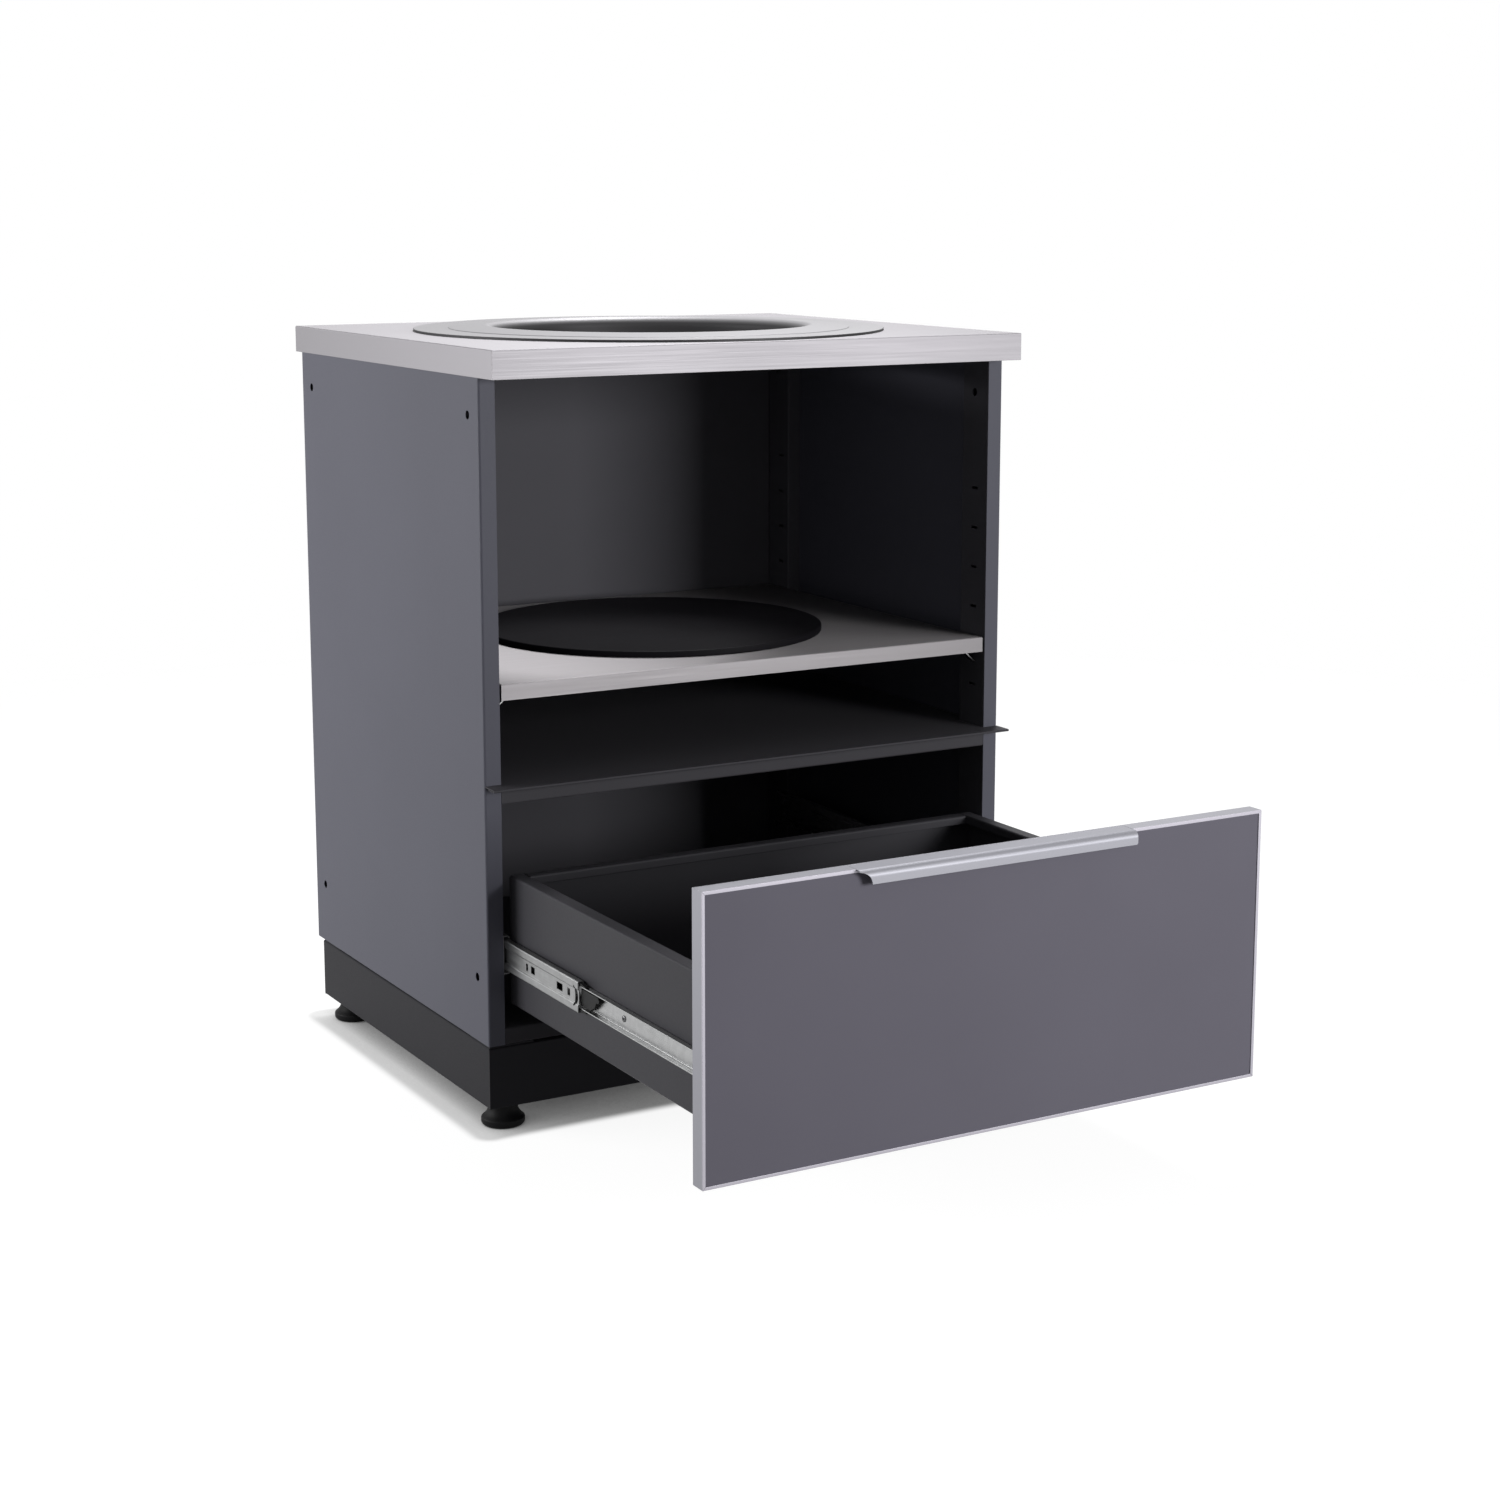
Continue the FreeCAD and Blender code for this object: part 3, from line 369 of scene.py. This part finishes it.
nodeFinish = {
    "carcass": {"left_side_panel": sheetEdge, "right_side_panel": sheetEdge},
    "inside": {"front_left_upright": sheetEdge, "front_right_upright": sheetEdge,
               "rear_left_upright": sheetEdge, "rear_right_upright": sheetEdge,
               "back_panel": sheetEdge, "top_rear_rail": sheetEdge},
    "deck": {"bottom_panel": sheetEdge, "divider_shelf": sheetEdge, "divider_rail": sheetEdge},
    # plinth_corner_posts take the dark plinth coat as painted shade, so the shadow gap above the plinth stays
    # dark
    "plinth": {"plinth_front": sheetEdge, "plinth_left": sheetEdge, "plinth_right": sheetEdge,
               "plinth_back": sheetEdge, "plinth_corner_posts": None},
    "worktop": {"countertop": sheetEdge, "countertop_stiffeners": None},
    "ring": {"trim_ring": None},
    "shelf": {"grill_shelf": sheetEdge, "shelf_stiffener": None},
    "plate": {"heat_plate": None},
    "zinc": {"shelf_clips": thinEdge, "foot_nuts": 0.0006,
             "left_slide_cabinet_member": thinEdge, "right_slide_cabinet_member": thinEdge,
             "left_slide_drawer_member": thinEdge, "right_slide_drawer_member": thinEdge},
    "zincDull": {"left_slide_middle_member": thinEdge, "right_slide_middle_member": thinEdge},
    "drawerBox": {"drawer_left_side": sheetEdge, "drawer_right_side": sheetEdge, "drawer_back": sheetEdge,
                  "drawer_box_front": sheetEdge, "drawer_bottom": sheetEdge, "drawer_front_liner": thinEdge},
    "drawerFace": {"drawer_face_panel": trimEdge},
    "core": {"drawer_front_core": None},
    "frameAcross": {"drawer_frame_top": trimEdge, "drawer_frame_bottom": trimEdge},
    "frameUpright": {"drawer_frame_left": trimEdge, "drawer_frame_right": trimEdge},
    "pull": {"edge_pull": 0.0005},
    "rubber": {"drawer_bumpers": mouldedEdge},
    "plastic": {"slide_latches": mouldedEdge, "left_slide_end_guides": trimEdge,
                "right_slide_end_guides": trimEdge},
    "balls": {"left_outer_ball_cage": None, "right_outer_ball_cage": None, "left_inner_ball_cage": None,
              "right_inner_ball_cage": None},
    "footPlastic": {"front_left_foot": None, "front_right_foot": None, "rear_left_foot": None,
                    "rear_right_foot": None},
}
for finish, roundings in nodeFinish.items():
    for name in roundings:
        for place in nodes[name].material_slots:
            place.material = finishes[finish]
print("nodes finished:", sum(len(roundings) for roundings in nodeFinish.values()))


# Piece helpers

weldDistance = 1e-6


def pieceName(node):
    first, *rest = node.split("_")
    return first + "".join(word.capitalize() for word in rest)


def finishPiece(name, bm, finish, body, stands=(), sharpAngle=40.0):
    # Makes the object from its mesh, smooth but for sharp corners, with flat faces kept flat
    mesh = bpy.data.meshes.new(name)
    bm.to_mesh(mesh)
    bm.free()
    mesh.materials.append(finishes[finish])
    mesh.shade_smooth()
    mesh.set_sharp_from_angle(angle=math.radians(sharpAngle))
    piece = bpy.data.objects.new(name, mesh)
    bpy.context.scene.collection.objects.link(piece)
    flats = piece.modifiers.new("flatFaces", "WEIGHTED_NORMAL")
    flats.keep_sharp = True
    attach(piece, body)
    if stands:
        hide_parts(*stands)
    return piece


def standIn(node, bm, finish):
    return finishPiece(pieceName(node), bm, finish, body_of(nodes[node])[0], [node])


def placed(bm, verts, place, axis):
    # Turns a shape made along Z towards an axis, then moves it to its place
    turn = Vector((0, 0, 1)).rotation_difference(Vector(axis)).to_matrix()
    bmesh.ops.rotate(bm, verts=verts, cent=(0, 0, 0), matrix=turn)
    bmesh.ops.translate(bm, verts=verts, vec=place)


def cornerEdges(bm, angle):
    return [edge for edge in bm.edges if edge.is_manifold and edge.calc_face_angle() > math.radians(angle)]


def rounded(bm, geom, width, segments, affect="EDGES"):
    bmesh.ops.bevel(bm, geom=geom, offset=width, offset_type="OFFSET", segments=segments, profile=0.5,
                    affect=affect, material=-1, clamp_overlap=True)


def spun(bm, geom, middle, steps, turns=1, lift=0.0):
    # Round an upright axis; with a lift for each step the turns climb and aren't merged
    bmesh.ops.spin(bm, geom=geom, cent=(middle[0], middle[1], 0), axis=(0, 0, 1), dvec=(0, 0, lift),
                   angle=math.tau * turns, steps=steps, use_merge=not lift, use_normal_flip=False,
                   use_duplicate=False)


def closeSeams(bm):
    bmesh.ops.remove_doubles(bm, verts=bm.verts, dist=weldDistance)
    bmesh.ops.recalc_face_normals(bm, faces=bm.faces)


# Folded and moulded pieces: the frame's own shapes with their cut edges broken

softEdges = {"flatAngle": 1.0, "cornerAngle": 35.0, "segments": 2, "weld": 1e-5}


def softCopy(node, finish, width, settings):
    bm = bmesh.new()
    bm.from_mesh(nodes[node].data)
    bmesh.ops.remove_doubles(bm, verts=bm.verts, dist=settings["weld"])
    flat = math.radians(settings["flatAngle"])
    bmesh.ops.dissolve_limit(bm, angle_limit=flat, verts=bm.verts, edges=bm.edges)
    rounded(bm, cornerEdges(bm, settings["cornerAngle"]), width, settings["segments"])
    return standIn(node, bm, finish)


softCount = 0
for finish, roundings in nodeFinish.items():
    for name, width in roundings.items():
        if width is not None:
            softCopy(name, finish, width, softEdges)
            softCount += 1
print("edges broken on", softCount, "pieces")


# Turned pieces

def turnProfile(points, roundings, middle, settings):
    # Spins an open outline of (radius, height) points about an upright axis, its corners rounded first
    bm = bmesh.new()
    verts = [bm.verts.new((middle[0] + radius, middle[1], height)) for radius, height in points]
    for pair in zip(verts, verts[1:]):
        bm.edges.new(pair)
    for vert, width in zip(verts[1:-1], roundings):
        if width:
            rounded(bm, [vert], width, settings["segments"], affect="VERTICES")
    spun(bm, bm.verts[:] + bm.edges[:], middle, settings["steps"])
    closeSeams(bm)
    return bm


trimRing = {
    "boreRadius": 0.192,
    "flangeWidth": 0.044,
    "rimHeight": 0.0032,
    "crestRise": 0.00465,
    "sheet": 0.0016,
    "rollRadius": 0.014,  # over the crest, on the outside of the sheet
    "rimRounding": 0.0009,
    "creaseStep": 0.0009,
    "creaseRounding": 0.0003,
    "segments": 8,
    "steps": 224,
}


def makeTrimRing(settings):
    low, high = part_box("trim_ring")
    outer = (high.x - low.x) / 2
    bore = settings["boreRadius"]
    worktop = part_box("countertop")[1].z
    rim = worktop + settings["rimHeight"]
    crest = rim + settings["crestRise"]
    sheet = settings["sheet"]
    step = settings["creaseStep"]
    crease = outer - settings["flangeWidth"]
    slope = math.atan2(settings["crestRise"] - step, crease - bore)
    halfBend = math.tan((math.pi / 2 - slope) / 2)
    roll = settings["rollRadius"] / halfBend
    rollUnder = (settings["rollRadius"] - sheet) / halfBend
    points = [(bore + sheet, low.z), (bore, low.z), (bore, crest), (crease, rim + step), (crease + step, rim),
              (outer, rim), (outer, worktop), (outer - sheet, worktop), (outer - sheet, rim - sheet),
              (crease, rim - sheet), (bore + sheet, crest - sheet), (bore + sheet, low.z)]
    roundings = [0, roll, settings["creaseRounding"], settings["creaseRounding"], settings["rimRounding"],
                 0, 0, 0, 0, rollUnder]
    bm = turnProfile(points, roundings, middleOf("trim_ring"), settings)
    standIn("trim_ring", bm, "ring")


heatPlate = {"rimRounding": 0.0016, "segments": 4, "steps": 160}


def makeHeatPlate(settings):
    low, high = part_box("heat_plate")
    reach = (high.x - low.x) / 2
    points = [(0, low.z), (reach, low.z), (reach, high.z), (0, high.z)]
    bm = turnProfile(points, [settings["rimRounding"]] * 2, middleOf("heat_plate"), settings)
    standIn("heat_plate", bm, "plate")


levellingFoot = {
    "padChamfer": 0.003,
    "padHeight": 0.009,
    "shoulder": (0.020, 0.014),  # radius, height
    "neck": (0.017, 0.022),
    "bossHeight": 0.0318,
    "padRounding": 0.0012,
    "neckRounding": 0.0036,
    "edgeRounding": 0.0004,
    "segments": 3,
    "steps": 72,
    "stemRadius": 0.005,
    "threadDepth": 0.0006,
    "threadSink": 0.0003,  # how far the ridge's foot lies inside the stem
    "threadPitch": 0.00175,
    "threadSteps": 20,
}


def addThread(bm, settings, middle, foot, head):
    # Ridge of three corners wound up the stem, its ends closed
    root = settings["stemRadius"] - settings["threadDepth"] - settings["threadSink"]
    pitch = settings["threadPitch"]
    half = pitch / 2
    corners = [(root, -half), (settings["stemRadius"], 0), (root, half)]
    ridge = [bm.verts.new((middle.x + radius, middle.y, foot + half + height)) for radius, height in corners]
    section = bm.faces.new(ridge)
    outline = ridge + section.edges[:] + [section]
    start = bmesh.ops.duplicate(bm, geom=outline)["geom"]
    bmesh.ops.reverse_faces(bm, faces=[part for part in start if isinstance(part, bmesh.types.BMFace)])
    turns = int((head - foot - pitch) / pitch)
    steps = settings["threadSteps"]
    spun(bm, outline, middle, turns * steps, turns, pitch / steps)


def makeFoot(node, settings):
    low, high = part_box(node)
    middle = middleOf(node)
    pad = (high.x - low.x) / 2
    chamfer = settings["padChamfer"]
    boss = settings["bossHeight"]
    core = settings["stemRadius"] - settings["threadDepth"]
    points = [(0, 0), (pad - chamfer, 0), (pad, chamfer), (pad, settings["padHeight"]), settings["shoulder"],
              settings["neck"], (settings["neck"][0], boss), (core, boss), (core, high.z), (0, high.z)]
    roundings = [settings["padRounding"]] * 3 + [settings["neckRounding"]] * 2
    roundings += [settings["edgeRounding"], 0, settings["edgeRounding"]]
    bm = turnProfile(points, roundings, middle, settings)
    addThread(bm, settings, middle, boss, high.z)
    closeSeams(bm)
    standIn(node, bm, "footPlastic")


makeTrimRing(trimRing)
makeHeatPlate(heatPlate)
for name in nodeFinish["footPlastic"]:
    makeFoot(name, levellingFoot)
print("turned pieces made")


# Ball cages: strips with rounded edges and a row of bright balls through each

ballCage = {
    "stripWidth": 0.0032,
    "stripHeight": 0.0016,
    "stripRounding": 0.0004,
    "segments": 2,
    "ballRadius": 0.00172,
    "balls": 12,
    "endMargin": 0.012,
}


def makeBallCage(node, settings):
    low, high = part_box(node)
    middle = middleOf(node)
    reach = settings["ballRadius"]
    margin = settings["endMargin"]
    gap = (high.y - low.y - 2 * margin) / (settings["balls"] - 1)
    bm = bmesh.new()
    for level in (low.z + reach, high.z - reach):
        strip = bmesh.ops.create_cube(bm, size=1.0)["verts"]
        size = (settings["stripWidth"], high.y - low.y, settings["stripHeight"])
        bmesh.ops.scale(bm, verts=strip, vec=size)
        bmesh.ops.translate(bm, verts=strip, vec=(middle.x, middle.y, level))
        edges = list({edge for vert in strip for edge in vert.link_edges})
        rounded(bm, edges, settings["stripRounding"], settings["segments"])
        for count in range(settings["balls"]):
            ball = bmesh.ops.create_icosphere(bm, subdivisions=2, radius=reach)["verts"]
            bmesh.ops.translate(bm, verts=ball, vec=(middle.x, low.y + margin + gap * count, level))
    standIn(node, bm, "balls")


for name in nodeFinish["balls"]:
    makeBallCage(name, ballCage)
print("ball cages made")


# Screws of the drawer: domed heads with a round drive recess, on the slide members and inside the box front

panScrew = {
    "headRadius": 0.0036,
    "headHeight": 0.0014,
    "dome": [(0.62, 1), (0.86, 0.80), (1, 0.45), (1, 0)],  # shares of the head's radius and height
    "recessRadius": 0.0015,
    "recessDepth": 0.0009,
    "steps": 20,
    "sheet": 0.0012,
    "slideSpots": (0.20895, 0.38575, 0.47075),  # from the slide member's front end
    "frontColumns": (-0.25, -0.09, 0.09, 0.25),
    "frontRows": (0.039, 0.119),  # above the box front's lower edge
}


def addScrew(bm, settings, place, axis):
    reach = settings["headRadius"]
    top = settings["headHeight"]
    recess = settings["recessRadius"]
    floor = top - settings["recessDepth"]
    outline = [(0, floor), (recess, floor), (recess, top)]
    outline += [(reach * across, top * up) for across, up in settings["dome"]]
    older = set(bm.verts)
    verts = [bm.verts.new((radius, 0, height)) for radius, height in outline]
    edges = [bm.edges.new(pair) for pair in zip(verts, verts[1:])]
    spun(bm, verts + edges, (0, 0), settings["steps"])
    placed(bm, [vert for vert in bm.verts if vert not in older], place, axis)


def makeDrawerScrews(settings):
    bm = bmesh.new()
    sheet = settings["sheet"]
    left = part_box("left_slide_drawer_member")
    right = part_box("right_slide_drawer_member")
    level = middleOf("left_slide_drawer_member").z
    for spot in settings["slideSpots"]:
        along = left[0].y + spot
        addScrew(bm, settings, (left[1].x - sheet, along, level), (-1, 0, 0))
        addScrew(bm, settings, (right[0].x + sheet, along, level), (1, 0, 0))
    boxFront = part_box("drawer_box_front")[0]
    for across in settings["frontColumns"]:
        for up in settings["frontRows"]:
            addScrew(bm, settings, (across, boxFront.y + sheet, boxFront.z + up), (0, 1, 0))
    closeSeams(bm)
    finishPiece("drawerScrews", bm, "screws", "drawer")


makeDrawerScrews(panScrew)
print("screws made")


# Studio: pale floor that fades into a white surround, and three soft lamps

studio = {
    "floorReach": 3.4,
    "floorSides": 96,
    "floorFade": (1.5, 3.2),  # metres from the middle where the floor starts and ends to fade
    "floorColour": (0.22, 0.22, 0.22),
    "floorGlow": 0.92,  # share of the floor's white that only close contact darkens
    "contactReach": 0.30,
    "contactSamples": 8,
    "contactPower": 1.1,
    "contactFade": 0.03,  # metres outside the plinth where the contact shadow ends
    "ambient": 0.12,
    "lamps": [  # name, place, aim, width and height, watts
        ("keyLamp", (-2.2, 1.0, 0.9), (-0.35, 0.25, 0.5), (1.4, 0.9), 35.5),
        ("frontLamp", (1.6, -3.45, 1.05), (0.0, -0.2, 0.6), (1.2, 1.0), 87.0),
        ("topLamp", (0.9, 1.0, 3.2), (0.0, 0.24, 0.9), (0.8, 0.8), 62.0),
    ],
}


def seenDirectly(tree):
    # 1 for camera, glossy and transmission rays, 0 for the rest
    path = tree.nodes.new("ShaderNodeLightPath")
    seen = path.outputs["Is Camera Ray"]
    for ray in ("Is Glossy Ray", "Is Transmission Ray"):
        seen = maths(tree, "MAXIMUM", seen, path.outputs[ray])
    return seen


def footprint():
    # Middle and half size of a box round the plinth, tall enough that height doesn't count on the floor
    corners = [corner for node in ("plinth_front", "plinth_back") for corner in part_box(node)]
    low = [min(corner[axis] for corner in corners) for axis in (0, 1)]
    high = [max(corner[axis] for corner in corners) for axis in (0, 1)]
    middle = [(a + b) / 2 for a, b in zip(low, high)]
    half = [(b - a) / 2 for a, b in zip(low, high)]
    return (*middle, 0), (*half, 1)


def beyondBox(tree, coords, middle, half):
    # Distance outside an upright box
    vector = mapped(tree, coords, move=(-middle[0], -middle[1], -middle[2]))
    vector = vectorMaths(tree, "ABSOLUTE", vector)
    vector = vectorMaths(tree, "SUBTRACT", vector, half)
    vector = vectorMaths(tree, "MAXIMUM", vector)
    return vectorMaths(tree, "LENGTH", vector)


def contactShade(tree, coords, settings):
    # 1 on the open floor, darker under the plinth and close around it
    contact = tree.nodes.new("ShaderNodeAmbientOcclusion")
    contact.samples = settings["contactSamples"]
    contact.inputs["Distance"].default_value = settings["contactReach"]
    deeper = maths(tree, "POWER", contact.outputs["AO"], settings["contactPower"])
    outside = ranged(tree, beyondBox(tree, coords, *footprint()), 0.0, 1.0, 0.0, settings["contactFade"])
    outside.node.interpolation_type = "SMOOTHSTEP"
    return maths(tree, "MAXIMUM", deeper, outside)


def floorWhite(settings):
    mat = bpy.data.materials.new("floorWhite")
    mat.use_nodes = True
    tree = mat.node_tree
    tree.nodes.remove(tree.nodes["Principled BSDF"])
    coords = tree.nodes.new("ShaderNodeTexCoord").outputs["Object"]
    paint = tree.nodes.new("ShaderNodeBsdfDiffuse")
    paint.inputs["Color"].default_value = (*settings["floorColour"], 1)
    level = maths(tree, "MULTIPLY", seenDirectly(tree), settings["floorGlow"])
    strength = maths(tree, "MULTIPLY", level, contactShade(tree, coords, settings))
    glow = tree.nodes.new("ShaderNodeEmission")
    tree.links.new(strength, glow.inputs["Strength"])
    lit = tree.nodes.new("ShaderNodeAddShader")
    tree.links.new(paint.outputs["BSDF"], lit.inputs[0])
    tree.links.new(glow.outputs["Emission"], lit.inputs[1])
    gone = ranged(tree, vectorMaths(tree, "LENGTH", coords), 0.0, 1.0, *settings["floorFade"])
    clear = tree.nodes.new("ShaderNodeBsdfTransparent")
    faded = tree.nodes.new("ShaderNodeMixShader")
    tree.links.new(gone, faded.inputs["Fac"])
    tree.links.new(lit.outputs["Shader"], faded.inputs[1])
    tree.links.new(clear.outputs["BSDF"], faded.inputs[2])
    tree.links.new(faded.outputs["Shader"], tree.nodes["Material Output"].inputs["Surface"])
    return mat


def makeFloor(settings):
    bm = bmesh.new()
    bmesh.ops.create_circle(bm, cap_ends=True, segments=settings["floorSides"], radius=settings["floorReach"])
    mesh = bpy.data.meshes.new("studioFloor")
    bm.to_mesh(mesh)
    bm.free()
    floor = bpy.data.objects.new("studioFloor", mesh)
    bpy.context.scene.collection.objects.link(floor)
    mesh.materials.append(floorWhite(settings))


def makeSurround(settings):
    world = bpy.data.worlds.new("studioSurround")
    bpy.context.scene.world = world
    world.use_nodes = True
    tree = world.node_tree
    backdrop = tree.nodes["Background"]
    backdrop.inputs["Color"].default_value = (1, 1, 1, 1)
    strength = ranged(tree, seenDirectly(tree), settings["ambient"], 1.0, 0.0, 1.0)
    tree.links.new(strength, backdrop.inputs["Strength"])


def makeLamps(settings):
    for name, place, aim, size, watts in settings["lamps"]:
        data = bpy.data.lights.new(name, "AREA")
        data.shape = "RECTANGLE"
        data.size, data.size_y = size
        data.energy = watts
        lamp = bpy.data.objects.new(name, data)
        lamp.location = place
        lamp.rotation_euler = (Vector(aim) - Vector(place)).to_track_quat("-Z", "Y").to_euler()
        bpy.context.scene.collection.objects.link(lamp)


makeFloor(studio)
makeSurround(studio)
makeLamps(studio)
bpy.context.scene.view_settings.view_transform = "Standard"
print("studio set")


# Camera, fitted to the photograph's corners

photoCamera = {
    "place": (-1.5827, -2.7707, 1.0900),
    "turn": 29.86,  # degrees from +Y towards +X
    "tilt": -9.99,
    "lens": 64.41,
    "sensor": 36.0,
    "rise": -0.06,
    "sightEnd": 100.0,
}


def makeCamera(settings):
    data = bpy.data.cameras.new("photoCamera")
    data.lens = settings["lens"]
    data.sensor_width = settings["sensor"]
    data.shift_y = settings["rise"]
    data.clip_end = settings["sightEnd"]
    data.dof.use_dof = False
    camera = bpy.data.objects.new("photoCamera", data)
    camera.location = settings["place"]
    camera.rotation_euler = (math.radians(90.0 + settings["tilt"]), 0, math.radians(-settings["turn"]))
    bpy.context.scene.collection.objects.link(camera)
    bpy.context.scene.camera = camera


makeCamera(photoCamera)
print("camera set")
